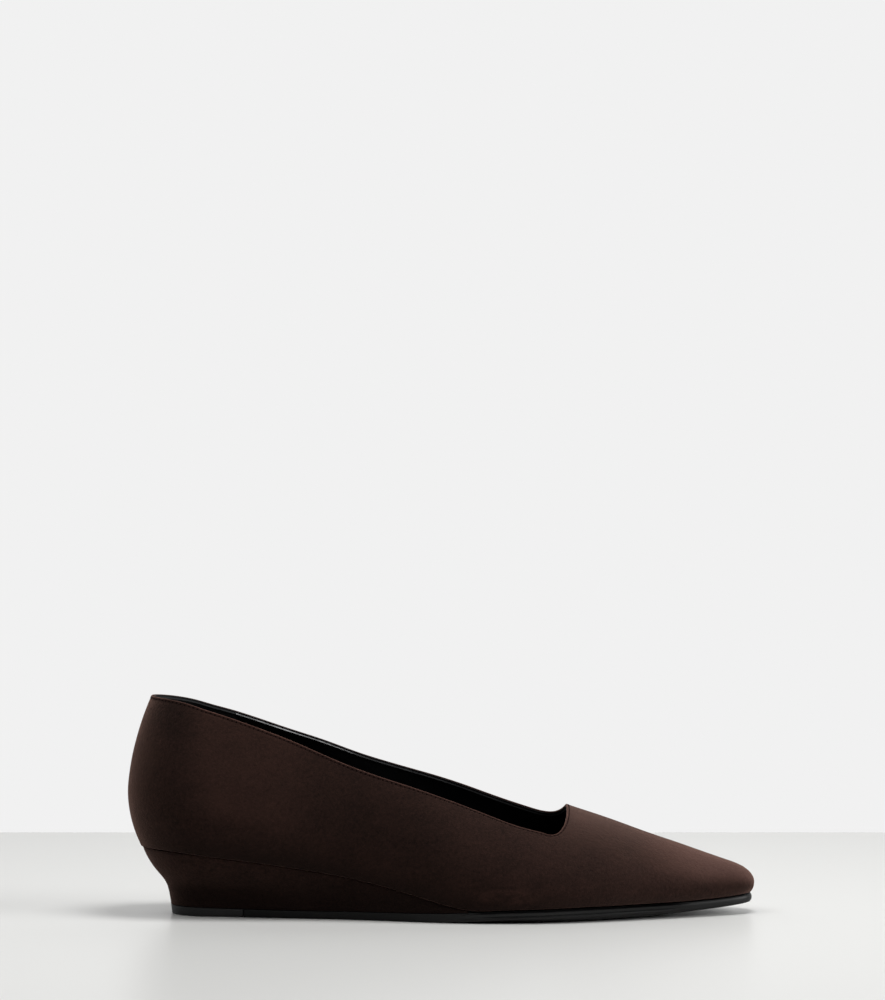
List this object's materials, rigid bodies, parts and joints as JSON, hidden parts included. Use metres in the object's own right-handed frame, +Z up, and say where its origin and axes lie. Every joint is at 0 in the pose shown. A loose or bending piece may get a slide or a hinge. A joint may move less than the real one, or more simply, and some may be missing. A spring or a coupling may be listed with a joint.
{
  "type": "wedge pump",
  "caption": "Women's slip-on pump with a slim square toe, a low square-cut throat, a suede upper and a low covered wedge.",
  "frame": {"origin": "on the floor, under the middle of the shoe's length and width", "axes": "+X from the heel to the toe, +Y towards the inner side of the foot, +Z up"},
  "size_m": [0.2658, 0.0808, 0.0923],
  "materials": {
    "suede": "fine matt suede, dark reddish brown",
    "sock_leather": "smooth satin, black",
    "wedge_cover": "fine matt suede, dark reddish brown",
    "sole_leather": "smooth waxed edge, black",
    "heel_rubber": "fine matt, black"
  },
  "bodies": {
    "root": {"upper": "suede", "insole": "sock_leather", "wedge": "wedge_cover", "outsole": "sole_leather", "heel_top_piece": "heel_rubber"}
  },
  "joints": []
}
